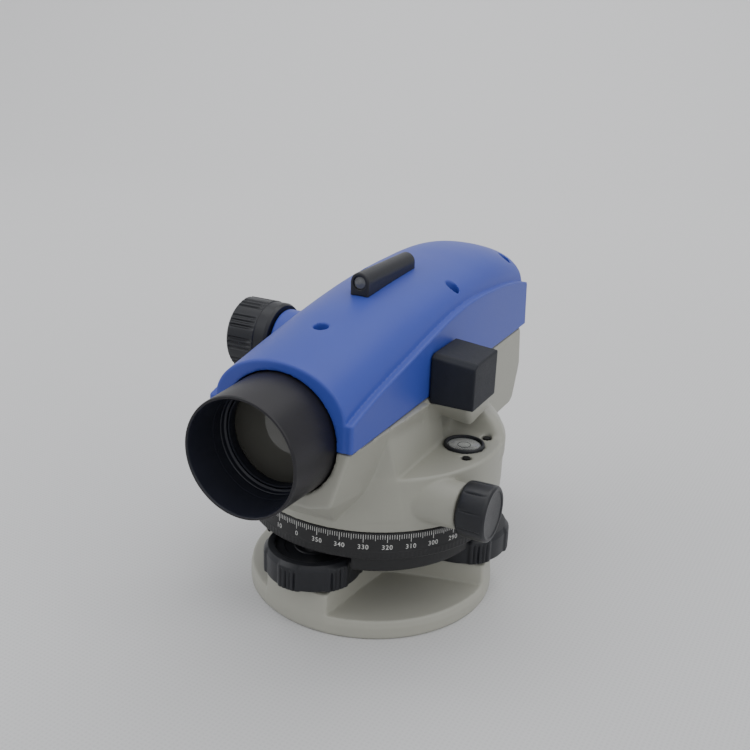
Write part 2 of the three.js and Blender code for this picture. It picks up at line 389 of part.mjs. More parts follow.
part('dioptre', 'dioptre_ring', turnY([[6.2, EYE_Y], [6.2, 118.0], [11.8, 118.0], [11.8, 106.6], [15.2, 106.6], [15.6, 107.4], [15.6, 115.2], [14.6, 116.6], [13.6, EYE_Y], [6.2, EYE_Y]], 48), M.black);

// ================================================================ circular bubble
{
  const [x, y] = VIAL;
  part('alidade', 'bubble_cup', turnZ([[0, 72.5], [8.3, 72.5], [8.3, 75.5], [7.2, 75.5], [7.2, 73.6], [0, 73.6], [0, 72.5]], 36).translate([x, y, 0]), M.black);
  part('alidade', 'bubble_vial', turnZ([[0, 73.9], [6.9, 73.9], [6.9, 75.0], [6.0, 75.2], [0, 75.3], [0, 73.9]], 32).translate([x, y, 0]), M.glass);
  [-1, 1].forEach((s, i) => {
    part('alidade', `bubble_screw_${i + 1}`, turnZ([[0, 69.5], [0.8, 69.5], [0.8, 72.2], [1.7, 72.2], [1.7, 74.4], [0, 74.4], [0, 69.5]], 12).translate([x + 5.7, y + s * 11.7, 0]), M.steel);
  });
  // prism housing: a rear-facing shell with the prism inside
  let cube = extrudeY([[31.2, 95.8], [50.4, 95.8], [50.4, 115.3], [31.2, 117.1]], -15.4, 9.4).subtract(box(33.4, 48.2, -13.2, 20, 98, 113.4)).subtract(box(37.2, 46.4, -11, 2, 90, 100));
  part('alidade', 'prism_housing', cube, M.black);
  part('alidade', 'bubble_prism', extrudeX([[-12.6, 98.4], [3, 98.4], [8.2, 113], [-12.6, 113]], 33.8, 47.8), M.glass);
}

// ================================================================ horizontal drive
part('worm_wheel_body', 'worm_wheel', turnZ([[10.0, 58.4], [16, 58.4], [16, 59.6], [27.2, 59.6], [27.2, 64.6], [10.0, 64.6], [10.0, 58.4]], 60), M.brass);
part('tangent_drive', 'tangent_shaft', turnX([[0, -64], [2.4, -64], [3.0, -55], [3.0, -9], [4.2, -9], [4.2, 9], [3.0, 9], [3.0, 55], [2.4, 64], [0, 64], [0, -64]], 24, TAN_Y, TAN_Z), M.steel);
for (const [name, s] of [['tangent_knob_left', 1], ['tangent_knob_right', -1]]) {
  const p = [[0, TAN_X1], [10.4, TAN_X1], [TAN_R - 0.2, TAN_X1 - 0.9], [TAN_R, TAN_X1 - 2.4], [TAN_R - 0.5, TAN_X0], [3.3, TAN_X0], [3.3, 64.4], [0, 64.4], [0, TAN_X1]];
  part('tangent_drive', name, turnX(p.map(([r, x]) => [r, s * x]), 40, TAN_Y, TAN_Z), M.black);
}

export default instrument;
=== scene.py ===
import bpy
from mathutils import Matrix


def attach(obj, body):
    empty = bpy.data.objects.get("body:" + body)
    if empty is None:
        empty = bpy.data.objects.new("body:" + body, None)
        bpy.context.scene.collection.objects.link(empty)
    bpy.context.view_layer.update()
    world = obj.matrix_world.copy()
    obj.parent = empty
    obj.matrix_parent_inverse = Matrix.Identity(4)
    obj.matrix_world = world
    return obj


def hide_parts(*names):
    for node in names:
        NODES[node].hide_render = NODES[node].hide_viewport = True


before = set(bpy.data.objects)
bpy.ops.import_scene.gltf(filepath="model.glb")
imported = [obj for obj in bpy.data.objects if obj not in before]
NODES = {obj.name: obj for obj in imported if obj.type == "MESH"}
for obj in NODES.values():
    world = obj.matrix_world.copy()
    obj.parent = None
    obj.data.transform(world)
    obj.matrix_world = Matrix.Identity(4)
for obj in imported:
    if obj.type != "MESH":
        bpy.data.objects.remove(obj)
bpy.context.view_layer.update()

import bpy
import math
import numpy as np
from mathutils import Matrix, Vector

# All shapes below are in millimetres measured from the instrument's vertical axis, as in the CAD.
# The row frame's origin is 7 mm behind that axis.
FY = -7.0
AX = 99.3
SCREW_AZ = (-101.0, 19.0, 139.0)
PITCH_R = 40.5


# ------------------------------------------------------------------ mesh helpers
def put(name, verts, faces, mat, body, nodes=(), sharp=38.0):
    """Makes a mesh object from points in mm, smooth shaded with sharp edges over that angle."""
    v = np.asarray(verts, float).copy()
    v[:, 1] += FY
    me = bpy.data.meshes.new(name)
    me.from_pydata((v * 0.001).tolist(), [], [tuple(int(i) for i in f) for f in faces])
    me.validate(clean_customdata=False)
    me.update()
    me.shade_smooth()
    if sharp:
        me.set_sharp_from_angle(angle=math.radians(sharp))
    for m in (mat if isinstance(mat, (list, tuple)) else [mat]):
        me.materials.append(m)
    ob = bpy.data.objects.new(name, me)
    bpy.context.scene.collection.objects.link(ob)
    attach(ob, body)
    if nodes:
        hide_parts(*nodes)
    return ob


def fillet(pts, r=0.4, n=4):
    """Rounds the corners of an open or closed profile. A point may carry its own radius as a third value."""
    pts = [tuple(p) for p in pts]
    closed = len(pts) > 2 and abs(pts[0][0] - pts[-1][0]) < 1e-9 and abs(pts[0][1] - pts[-1][1]) < 1e-9
    body = pts[:-1] if closed else pts
    out = []
    m = len(body)
    for i, p in enumerate(body):
        rad = p[2] if len(p) > 2 else r
        if (not closed and i in (0, m - 1)) or rad <= 0 or (abs(p[0]) < 1e-9):
            out.append((p[0], p[1]))
            continue
        a = np.array(body[(i - 1) % m][:2]) - np.array(p[:2])
        b = np.array(body[(i + 1) % m][:2]) - np.array(p[:2])
        la, lb = np.linalg.norm(a), np.linalg.norm(b)
        a, b = a / la, b / lb
        cosv = float(np.clip(a @ b, -1, 1))
        ang = math.acos(cosv)
        if ang > math.radians(172):
            out.append((p[0], p[1]))
            continue
        t = min(rad / math.tan(ang / 2), 0.45 * la, 0.45 * lb)
        rr = t * math.tan(ang / 2)
        c = np.array(p[:2]) + (a + b) / np.linalg.norm(a + b) * (rr / math.sin(ang / 2))
        s, e = np.array(p[:2]) + a * t - c, np.array(p[:2]) + b * t - c
        a0, a1 = math.atan2(s[1], s[0]), math.atan2(e[1], e[0])
        d = (a1 - a0 + math.pi) % (2 * math.pi) - math.pi
        for k in range(n + 1):
            q = a0 + d * k / n
            out.append((c[0] + rr * math.cos(q), c[1] + rr * math.sin(q)))
    if closed:
        out.append(out[0])
    return out


def turned(profile, axis, centre=(0, 0, 0), segs=96, mod=None, flip=False):
    """Vertices and faces of a turned piece. profile is (radius, distance along axis). mod(theta, r, h) gives the real radius."""
    closed = abs(profile[0][0] - profile[-1][0]) < 1e-9 and abs(profile[0][1] - profile[-1][1]) < 1e-9 and profile[0][0] > 1e-6
    prof = profile[:-1] if closed else profile
    verts, faces, rows = [], [], []
    th = np.arange(segs) * 2 * math.pi / segs
    for r, h in prof:
        if r < 1e-6:
            rows.append([len(verts)])
            verts.append((0, 0, h))
            continue
        rr = np.array([mod(t, r, h) for t in th]) if mod else np.full(segs, r)
        rows.append(list(range(len(verts), len(verts) + segs)))
        verts.extend(np.stack([rr * np.cos(th), rr * np.sin(th), np.full(segs, h)], 1).tolist())
    n = len(rows)
    for i in range(n if closed else n - 1):
        a, b = rows[i], rows[(i + 1) % n]
        for k in range(segs):
            k1 = (k + 1) % segs
            if len(a) == 1 and len(b) == 1:
                continue
            if len(a) == 1:
                f = (a[0], b[k1], b[k])
            elif len(b) == 1:
                f = (a[k], a[k1], b[0])
            else:
                f = (a[k], a[k1], b[k1], b[k])
            faces.append(f)
    v = np.array(verts)
    if axis == "z":
        w = v
    elif axis == "y":      # local z -> y, x -> z, y -> x
        w = np.stack([v[:, 1], v[:, 2], v[:, 0]], 1)
    else:                  # local z -> x, x -> y, y -> z
        w = np.stack([v[:, 2], v[:, 0], v[:, 1]], 1)
    # outward facing: sign of the volume
    vol = 0.0
    for f in faces:
        for q in range(1, len(f) - 1):
            vol += float(np.dot(w[f[0]], np.cross(w[f[q]], w[f[q + 1]])))
    if (vol < 0) != flip:
        faces = [tuple(reversed(f)) for f in faces]
    return w + np.array(centre, float), faces


def joined(parts):
    verts, faces, n = [], [], 0
    for v, f in parts:
        verts.append(np.asarray(v, float))
        faces.extend([tuple(i + n for i in q) for q in f])
        n += len(v)
    return np.concatenate(verts), faces


# ------------------------------------------------------------------ implicit shapes, meshed on a fine grid
def smin(a, b, k):
    h = np.clip(0.5 + 0.5 * (b - a) / k, 0, 1)
    return b * (1 - h) + a * h - k * h * (1 - h)


def smax(a, b, k):
    return -smin(-a, -b, k)


def cut(a, b, k=0.8):
    return smax(a, -b, k)


def rbox(P, lo, hi, rd=0.0):
    lo, hi = np.array(lo, float), np.array(hi, float)
    q = np.abs(P - (lo + hi) / 2) - (hi - lo) / 2 + rd
    return np.linalg.norm(np.maximum(q, 0), axis=1) + np.minimum(q.max(axis=1), 0) - rd


def cap2(a, b, rd):
    """Rounded intersection of two distances."""
    a, b = a + rd, b + rd
    return np.minimum(np.maximum(a, b), 0) + np.hypot(np.maximum(a, 0), np.maximum(b, 0)) - rd


def cylz(P, cx, cy, r, z0, z1, rd=0.0):
    return cap2(np.hypot(P[:, 0] - cx, P[:, 1] - cy) - r, np.abs(P[:, 2] - (z0 + z1) / 2) - (z1 - z0) / 2, rd)


def cyly(P, cx, cz, r, y0, y1, rd=0.0):
    return cap2(np.hypot(P[:, 0] - cx, P[:, 2] - cz) - r, np.abs(P[:, 1] - (y0 + y1) / 2) - (y1 - y0) / 2, rd)


def cylx(P, cy, cz, r, x0, x1, rd=0.0):
    return cap2(np.hypot(P[:, 1] - cy, P[:, 2] - cz) - r, np.abs(P[:, 0] - (x0 + x1) / 2) - (x1 - x0) / 2, rd)


def poly(a, b, pts):
    """Signed distance to a closed polygon in the plane."""
    d = np.full(a.shape, 1e9)
    s = np.ones(a.shape)
    n = len(pts)
    for i in range(n):
        x0, y0 = pts[i]
        x1, y1 = pts[i - 1]
        ex, ey = x1 - x0, y1 - y0
        wx, wy = a - x0, b - y0
        t = np.clip((wx * ex + wy * ey) / (ex * ex + ey * ey), 0, 1)
        bx, by = wx - ex * t, wy - ey * t
        d = np.minimum(d, bx * bx + by * by)
        c1, c2, c3 = b >= y0, b < y1, ex * wy > ey * wx
        flip = (c1 & c2 & c3) | (~c1 & ~c2 & ~c3)
        s = np.where(flip, -s, s)
    return s * np.sqrt(d)


def net(f, lo, hi, h, proj=4):
    """Surface-nets mesh of f = 0 inside the box, with its points brought onto the surface."""
    lo = np.array(lo, float)
    n = np.ceil((np.array(hi, float) - lo) / h).astype(int) + 1
    ax = [lo[i] + h * np.arange(n[i]) for i in range(3)]
    F = np.empty(n, np.float32)
    Y, Z = np.meshgrid(ax[1], ax[2], indexing="ij")
    step = max(1, int(400000 / Y.size))
    for i in range(0, n[0], step):
        xs = ax[0][i:i + step]
        P = np.empty((len(xs), Y.size, 3))
        P[:, :, 0] = xs[:, None]
        P[:, :, 1] = Y.ravel()
        P[:, :, 2] = Z.ravel()
        F[i:i + step] = f(P.reshape(-1, 3)).reshape(len(xs), *Y.shape)
    S = F < 0
    C = sum(S[i:n[0] - 1 + i, j:n[1] - 1 + j, k:n[2] - 1 + k].astype(np.int8) for i in (0, 1) for j in (0, 1) for k in (0, 1))
    act = (C > 0) & (C < 8)
    I = np.argwhere(act)
    idx = np.full(act.shape, -1, np.int64)
    idx[act] = np.arange(len(I))
    acc, cnt = np.zeros((len(I), 3)), np.zeros(len(I))
    corners = [(0, 0, 0), (1, 0, 0), (0, 1, 0), (1, 1, 0), (0, 0, 1), (1, 0, 1), (0, 1, 1), (1, 1, 1)]
    for a in corners:
        for d in range(3):
            if a[d]:
                continue
            b = list(a); b[d] = 1
            fa = F[I[:, 0] + a[0], I[:, 1] + a[1], I[:, 2] + a[2]].astype(float)
            fb = F[I[:, 0] + b[0], I[:, 1] + b[1], I[:, 2] + b[2]].astype(float)
            m = (fa < 0) != (fb < 0)
            t = np.where(m, fa / np.where(m, fa - fb, 1), 0)
            p = I + np.array(a, float)
            p[:, d] += t
            acc[m] += p[m]
            cnt[m] += 1
    V = lo + h * acc / cnt[:, None]
    faces = []
    order = {0: (1, 2), 1: (2, 0), 2: (0, 1)}
    for d in range(3):
        u, w = order[d]
        sl0 = [slice(1, n[0] - 1), slice(1, n[1] - 1), slice(1, n[2] - 1)]
        sl0[d] = slice(0, n[d] - 1)
        sl1 = list(sl0); sl1[d] = slice(1, n[d])
        A, B = S[tuple(sl0)], S[tuple(sl1)]
        E = np.argwhere(A != B)
        out = A[A != B]
        base = E.copy()
        base[:, u] += 1
        base[:, w] += 1
        quad = []
        for du, dw in ((-1, -1), (0, -1), (0, 0), (-1, 0)):
            q = base.copy()
            q[:, u] += du
            q[:, w] += dw
            quad.append(idx[q[:, 0], q[:, 1], q[:, 2]])
        Q = np.stack(quad, 1)
        Q[~out] = Q[~out][:, ::-1]
        faces.append(Q)
    faces = np.concatenate(faces)
    e = 0.04
    for _ in range(proj):
        val = f(V)
        g = np.stack([(f(V + np.eye(3)[k] * e) - f(V - np.eye(3)[k] * e)) / (2 * e) for k in range(3)], 1)
        g2 = np.maximum((g * g).sum(1), 0.05)
        V -= np.clip(val / g2, -0.5 * h, 0.5 * h)[:, None] * g
    return V, faces


def table(t, x):
    """Smooth reading of a table of (position, value)."""
    t = np.array(t, float)
    xs, ys = t[:, 0], t[:, 1]
    m = np.gradient(ys, xs)
    x = np.clip(x, xs[0], xs[-1])
    i = np.clip(np.searchsorted(xs, x) - 1, 0, len(xs) - 2)
    h = xs[i + 1] - xs[i]
    u = (x - xs[i]) / h
    return (2 * u**3 - 3 * u**2 + 1) * ys[i] + (u**3 - 2 * u**2 + u) * h * m[i] + (-2 * u**3 + 3 * u**2) * ys[i + 1] + (u**3 - u**2) * h * m[i + 1]


# ------------------------------------------------------------------ materials
def material(name, colour, rough=0.5, metal=0.0, tint=0.06, tint_scale=60.0, grain=900.0, grain_depth=0.02, rough_var=0.08,
             spec=0.5, coat=0.0, coat_rough=0.1, dust=0.0, brushed=None, trans=0.0, ior=1.45, alpha=1.0):
    """Procedural surface: slow colour variation, fine grain in bump and roughness, and a little settled dust."""
    m = bpy.data.materials.new(name)
    m.use_nodes = True
    t = m.node_tree
    t.nodes.clear()
    N, L = t.nodes.new, t.links.new
    out = N("ShaderNodeOutputMaterial")
    b = N("ShaderNodeBsdfPrincipled")
    L(b.outputs[0], out.inputs[0])
    b.inputs["Metallic"].default_value = metal
    b.inputs["IOR"].default_value = ior
    b.inputs["Specular IOR Level"].default_value = spec
    b.inputs["Coat Weight"].default_value = coat
    b.inputs["Coat Roughness"].default_value = coat_rough
    b.inputs["Transmission Weight"].default_value = trans
    b.inputs["Alpha"].default_value = alpha
    co = N("ShaderNodeTexCoord")
    big = N("ShaderNodeTexNoise")
    big.inputs["Scale"].default_value = tint_scale
    big.inputs["Detail"].default_value = 5.0
    big.inputs["Roughness"].default_value = 0.6
    L(co.outputs["Object"], big.inputs["Vector"])
    ramp = N("ShaderNodeValToRGB")
    c = np.array(colour[:3])
    ramp.color_ramp.elements[0].position = 0.3
    ramp.color_ramp.elements[1].position = 0.7
    ramp.color_ramp.elements[0].color = (*np.clip(c * (1 - tint), 0, 1), 1)
    ramp.color_ramp.elements[1].color = (*np.clip(c * (1 + tint), 0, 1), 1)
    L(big.outputs["Fac"], ramp.inputs["Fac"])
    col = ramp.outputs["Color"]
    fine = N("ShaderNodeTexNoise")
    fine.inputs["Scale"].default_value = grain
    fine.inputs["Detail"].default_value = 3.0
    if brushed is not None:
        mp = N("ShaderNodeMapping")
        mp.inputs["Scale"].default_value = brushed
        L(co.outputs["Object"], mp.inputs["Vector"])
        L(mp.outputs["Vector"], fine.inputs["Vector"])
    else:
        L(co.outputs["Object"], fine.inputs["Vector"])
    rr = N("ShaderNodeMapRange")
    rr.inputs["From Min"].default_value = 0.3
    rr.inputs["From Max"].default_value = 0.7
    rr.inputs["To Min"].default_value = max(rough - rough_var, 0.02)
    rr.inputs["To Max"].default_value = min(rough + rough_var, 1.0)
    mixr = N("ShaderNodeMath")
    mixr.operation = "MULTIPLY_ADD"
    mixr.inputs[1].default_value = 0.5
    L(big.outputs["Fac"], mixr.inputs[0])
    half = N("ShaderNodeMath")
    half.operation = "MULTIPLY"
    half.inputs[1].default_value = 0.5
    L(fine.outputs["Fac"], half.inputs[0])
    L(half.outputs[0], mixr.inputs[2])
    L(mixr.outputs[0], rr.inputs["Value"])
    L(rr.outputs["Result"], b.inputs["Roughness"])
    bump = N("ShaderNodeBump")
    bump.inputs["Strength"].default_value = 1.0
    bump.inputs["Distance"].default_value = grain_depth * 0.001
    L(fine.outputs["Fac"], bump.inputs["Height"])
    L(bump.outputs["Normal"], b.inputs["Normal"])
    if dust > 0:
        geo = N("ShaderNodeNewGeometry")
        sep = N("ShaderNodeSeparateXYZ")
        L(geo.outputs["Normal"], sep.inputs[0])
        up = N("ShaderNodeMapRange")
        up.inputs["From Min"].default_value = 0.2
        up.inputs["From Max"].default_value = 1.0
        up.inputs["To Max"].default_value = dust
        L(sep.outputs["Z"], up.inputs["Value"])
        speck = N("ShaderNodeMath")
        speck.operation = "MULTIPLY"
        L(up.outputs["Result"], speck.inputs[0])
        L(fine.outputs["Fac"], speck.inputs[1])
        mix = N("ShaderNodeMix")
        mix.data_type = "RGBA"
        mix.inputs["B"].default_value = (0.45, 0.45, 0.44, 1)
        L(speck.outputs[0], mix.inputs["Factor"])
        L(col, mix.inputs["A"])
        col = mix.outputs["Result"]
    L(col, b.inputs["Base Color"])
    return m


BLUE = (0.046, 0.079, 0.42)
M = {
    "blue": material("satin_blue_plastic", BLUE, 0.42, tint=0.035, tint_scale=22, grain=2600, grain_depth=0.014, rough_var=0.05, spec=0.45, dust=0.03),
    "beige": material("cast_beige_enamel", (0.355, 0.353, 0.305), 0.42, tint=0.04, tint_scale=30, grain=1100, grain_depth=0.03, rough_var=0.07, spec=0.5, dust=0.03),
    "foot": material("cast_beige_enamel_foot", (0.42, 0.416, 0.362), 0.42, tint=0.04, tint_scale=30, grain=1100, grain_depth=0.03, rough_var=0.07, spec=0.5, dust=0.03),
    "black": material("satin_black_plastic", (0.015, 0.016, 0.021), 0.42, tint=0.15, tint_scale=90, grain=1500, grain_depth=0.02, rough_var=0.08, dust=0.04),
    "block": material("matt_black_block", (0.016, 0.018, 0.025), 0.55, tint=0.15, tint_scale=90, grain=1500, grain_depth=0.03, rough_var=0.08, spec=0.30, dust=0.015),
    "knob": material("moulded_black_knob", (0.013, 0.014, 0.018), 0.38, tint=0.15, tint_scale=110, grain=1700, grain_depth=0.02, rough_var=0.08, dust=0.03),
    "hood": material("hood_black_satin", (0.0095, 0.0085, 0.012), 0.40, tint=0.12, tint_scale=70, grain=2200, grain_depth=0.012, rough_var=0.06, dust=0.03),
    "inside": material("hood_inside_black", (0.017, 0.019, 0.030), 0.36, tint=0.1, tint_scale=80, grain=500, grain_depth=0.02, rough_var=0.05, brushed=(1, 14, 1)),
    "enamel": material("head_black_enamel", (0.018, 0.018, 0.019), 0.5, tint=0.15, tint_scale=60, grain=900, grain_depth=0.04, rough_var=0.1, dust=0.04),
    "scale": material("scale_matt_black", (0.014, 0.014, 0.015), 0.48, tint=0.12, tint_scale=60, grain=1600, grain_depth=0.012, rough_var=0.07, dust=0.02),
    "white": material("scale_white_fill", (0.66, 0.66, 0.64), 0.6, tint=0.12, tint_scale=700, grain=2500, grain_depth=0.01),
    "steel": material("turned_steel", (0.55, 0.55, 0.55), 0.28, 1.0, tint=0.06, grain=700, grain_depth=0.006, brushed=(1, 1, 9)),
    "spring": material("blued_spring_steel", (0.12, 0.125, 0.14), 0.35, 1.0, tint=0.12, grain=800, grain_depth=0.006, brushed=(8, 1, 1)),
    "brass": material("turned_brass", (0.62, 0.44, 0.18), 0.3, 1.0, tint=0.08, grain=700, grain_depth=0.006, brushed=(1, 9, 1)),
    "bronze": material("bearing_bronze", (0.42, 0.25, 0.12), 0.35, 1.0, tint=0.08, grain=700, grain_depth=0.006),
    "alloy": material("machined_alloy", (0.60, 0.61, 0.62), 0.35, 1.0, tint=0.05, grain=700, grain_depth=0.008, brushed=(9, 1, 1)),
    "screw": material("dark_oxide_screw", (0.05, 0.05, 0.055), 0.4, 0.9, tint=0.15, grain=900, grain_depth=0.01),
    # cover screws: blue like the cover's recess walls, and darker than the cover as painted shade for the bottoms of
    # their deep recesses
    "blue_screw_recess_shade": material("dark_blue_screw_painted_recess_shade", (0.03, 0.06, 0.30), 0.45, tint=0.1, tint_scale=300, grain=1500, grain_depth=0.01),
    "magnet": material("sintered_magnet", (0.25, 0.25, 0.26), 0.4, 0.9, tint=0.1, grain=900, grain_depth=0.02),
    "lens": material("coated_objective_glass", (0.13, 0.127, 0.110), 0.06, tint=0.08, tint_scale=30, grain=60, grain_depth=0.001, rough_var=0.02, trans=0.30, ior=1.50, coat=0.5, coat_rough=0.02),
    "glass": material("optical_glass", (0.82, 0.88, 0.86), 0.04, tint=0.02, tint_scale=40, grain=60, grain_depth=0.001, rough_var=0.01, trans=0.9, ior=1.5),
    "sightglass": material("sight_glass", (0.16, 0.165, 0.165), 0.15, tint=0.2, tint_scale=500, grain=60, grain_depth=0.001, rough_var=0.03, trans=0.2, ior=1.5),
    "vial": material("vial_glass", (0.93, 0.94, 0.93), 0.05, tint=0.03, tint_scale=200, grain=60, grain_depth=0.001, rough_var=0.01, trans=0.92, ior=1.40),
    "vialback": material("vial_white_back", (0.95, 0.95, 0.955), 0.30, tint=0.14, tint_scale=600, grain=900, grain_depth=0.02),
}

PLAIN = {
    "spindle": "steel", "spindle_bearing": "bronze", "telescope_tube": "inside", "focus_bush": "brass", "compensator_frame": "alloy",
    "compensator_front_prism": "glass", "compensator_rear_prism": "glass", "suspension_tape_1": "steel", "suspension_tape_2": "steel",
    "damping_magnet": "magnet", "reticle_ring": "brass", "reticle_glass": "glass", "worm_wheel": "brass", "tangent_shaft": "steel",
    "focus_pinion_shaft": "steel", "focusing_lens_cell": "brass", "focusing_lens": "glass", "pendulum_arm": "alloy", "pendulum_prism": "glass",
    "eyepiece_cell": "hood", "eyepiece_lens": "glass", "bubble_prism": "glass", "spring_plate": "spring",
    "foot_screw_nut_1": "brass", "foot_screw_nut_2": "brass", "foot_screw_nut_3": "brass",
    "foot_screw_stem_1": "steel", "foot_screw_stem_2": "steel", "foot_screw_stem_3": "steel",
    "bubble_screw_1": "screw", "bubble_screw_2": "screw",
    "spring_plate_screw_1": "steel", "spring_plate_screw_2": "steel", "spring_plate_screw_3": "steel",
    # the cover screws take the darker blue: painted shade at the bottom of their recesses
    "cover_screw_1": "blue_screw_recess_shade", "cover_screw_2": "blue_screw_recess_shade", "cover_screw_3": "blue_screw_recess_shade", "cover_screw_4": "blue_screw_recess_shade", "cover_screw_5": "blue_screw_recess_shade",
}
for node, key in PLAIN.items():
    ob = NODES[node]
    if not ob.material_slots:
        ob.data.materials.append(M[key])
    for s in ob.material_slots:
        s.link = "OBJECT"
        s.material = M[key]


def at(az, r):
    return r * math.cos(math.radians(az)), r * math.sin(math.radians(az))


# ------------------------------------------------------------------ foot plate
LOBES = [(0, -13.5), (24, -14.4), (60, -17.6), (60, 17.6), (24, 14.4), (0, 13.5)]


def turn(P, az):
    c, s = math.cos(math.radians(az)), math.sin(math.radians(az))
    return P[:, 0] * c + P[:, 1] * s, -P[:, 0] * s + P[:, 1] * c


def foot_plate(P):
    r = np.hypot(P[:, 0], P[:, 1])
    d = poly(r, P[:, 2], [(-5, 0), (54.6, 0), (55.2, 0.6), (55.2, 5.2), (54.5, 8.65), (-5, 8.65)])
    d = cap2(d, P[:, 2] - 8.65, 0.9)
    for az in SCREW_AZ:
        a, b = turn(P, az)
        wall = poly(a, b, LOBES)
        rim = (r - (54.9 - 0.035 * (P[:, 2] - 8))) * 0.999
        lobe = smax(smax(wall, rim, 1.1), P[:, 2] - 18.0, 0.9)
        lobe = np.maximum(lobe, 1.5 - P[:, 2])
        d = smin(d, lobe, 0.9)
    d = cut(d, cylz(P, 0, 0, 7.3, -5, 30), 0.7)
    for az in SCREW_AZ:
        x, y = at(az, PITCH_R)
        d = cut(d, cylz(P, x, y, 5.5, 12.0, 30), 0.5)
        d = np.maximum(d, -(np.sqrt((P[:, 0] - x) ** 2 + (P[:, 1] - y) ** 2 + (P[:, 2] - 12.6) ** 2) - 5.5))
        sx, sy = at(az + 60, 12.2)
        d = np.maximum(d, -cylz(P, sx, sy, 1.25, 10, 30))
    # shallow weight-saving ring under the plate
    d = cut(d, cap2(np.abs(r - 24) - 9, np.abs(P[:, 2]) - 1.2, 0.5), 0.6)
    return d


v, f = net(foot_plate, (-57.6, -57.6, -1.6), (57.6, 57.6, 19.6), 0.8)
put("foot_plate_body", v, f, M["foot"], "base", ("foot_plate",), sharp=50)

# ------------------------------------------------------------------ foot screw knobs
TURNED = (-31.0, -43.5, -37.0)


def knob_radius(theta, r, h, off):
    if r < 17.2:
        return r
    az = math.degrees(theta)
    k = round((az - off) / 60.0)
    da = az - off - 60 * k
    # six proud lobes with flats between them
    lobe = 1 / (1 + math.exp((abs(da) - 14.2) / 0.8))
    rr = 20.45 + 0.95 * lobe
    if 20.0 < h < 29.6 and abs(da) < 12.5:
        for g in (-8.4, -2.8, 2.8, 8.4):
            u = (da - g) / 1.0
            rr -= 0.6 * math.exp(-u ** 4) * min(1.0, (h - 20.0) / 0.5, (29.6 - h) / 0.5)
    return rr - (21.4 - r) if r > 19.6 else min(rr, r + 0.35)


for i, az in enumerate(SCREW_AZ):
    x, y = at(az, PITCH_R)
    prof = fillet([(4.4, 19.5), (20.2, 19.5), (21.4, 20.3), (21.4, 22), (21.4, 24), (21.4, 26), (21.4, 28), (21.4, 29.4), (21.0, 30.4), (19.2, 32.0), (17.1, 32.2),
                   (16.4, 31.9), (16.2, 31.0), (12.6, 31.0), (12.2, 30.7), (8.4, 30.7), (8.0, 31.2), (4.4, 31.2), (4.4, 19.5)], 0.25, 3)
    v, f = turned(prof, "z", (x, y, 0), 360, lambda t, r, h, off=TURNED[i]: knob_radius(t, r, h, off))
    put(f"foot_screw_knob_body_{i + 1}", v, f, M["knob"], f"foot_screw_{i + 1}", (f"foot_screw_knob_{i + 1}",), sharp=45)

# ------------------------------------------------------------------ levelling head
def head(P):
    r = np.hypot(P[:, 0], P[:, 1])
    z = P[:, 2]
    d = poly(r, z, [(9.95, 25), (14, 25), (14, 35), (46.5, 35), (46.5, 29.2), (49.2, 29.2), (50, 30), (50, 38.0), (46.6, 38.0), (46.6, 41.2), (45.0, 41.2), (45.0, 38.0), (9.95, 38.0)])
    for az in SCREW_AZ:
        x, y = at(az, PITCH_R)
        d = cut(d, cylz(P, x, y, 23.4, 15, 34.9), 0.5)
        pocket = np.maximum(cylz(P, x, y, 6.6, 20, 60), r - 44.4)
        d = np.maximum(d, -pocket)
        d = np.maximum(d, -cylz(P, x, y, 4.8, 20, 60))
    return d


v, f = net(head, (-51.5, -51.5, 23.6), (51.5, 51.5, 42.6), 0.85)
put("levelling_head_body", v, f, M["enamel"], "head", ("levelling_head",), sharp=45)

# ------------------------------------------------------------------ horizontal circle with its divisions
def ring_radius(theta, r, h):
    # fine grip round the lower edge
    if r > 55.3 and 38.9 < h < 41.6:
        return r - 0.16 * (0.5 + 0.5 * math.cos(theta * 180)) * min(1, (h - 38.9) / 0.4, (41.6 - h) / 0.4)
    return r


ringp = [(47.0, 38.4)] + [(55.5, 38.4, 0.3), (55.95, 39.0, 0.2), (55.95, 39.6, 0), (55.95, 41.0, 0), (55.95, 41.9, 0.1), (55.75, 42.2, 0.1), (55.75, 50.1, 0.2), (55.4, 50.45, 0.2), (52.9, 50.45, 0.3), (52.9, 41.6, 0.4), (47.0, 41.6, 0.3), (47.0, 38.4)]
v, f = turned(fillet(ringp, 0.2, 3), "z", (0, 0, 0), 1080, ring_radius)
put("horizontal_circle_body", v, f, M["scale"], "circle", ("horizontal_circle",), sharp=40)

marks = []
RM = 55.82


def plate_on_ring(az_mid, z0, z1, w):
    """A thin raised strip on the ring's wall."""
    half = math.degrees(w / 2 / RM)
    a0, a1 = math.radians(az_mid - half), math.radians(az_mid + half)
    vs = []
    for rr in (RM - 0.12, RM):
        for a, z in ((a0, z0), (a1, z0), (a1, z1), (a0, z1)):
            vs.append((rr * math.cos(a), rr * math.sin(a), z))
    fs = [(4, 5, 6, 7), (0, 3, 2, 1), (0, 1, 5, 4), (1, 2, 6, 5), (2, 3, 7, 6), (3, 0, 4, 7)]
    return vs, fs


ZERO_AZ = -97.3
for deg in range(360):
    low = 46.2 if deg % 10 == 0 else (47.1 if deg % 5 == 0 else 47.75)
    marks.append(plate_on_ring(ZERO_AZ - deg, low, 49.7, 0.27 if deg % 10 == 0 else 0.22))


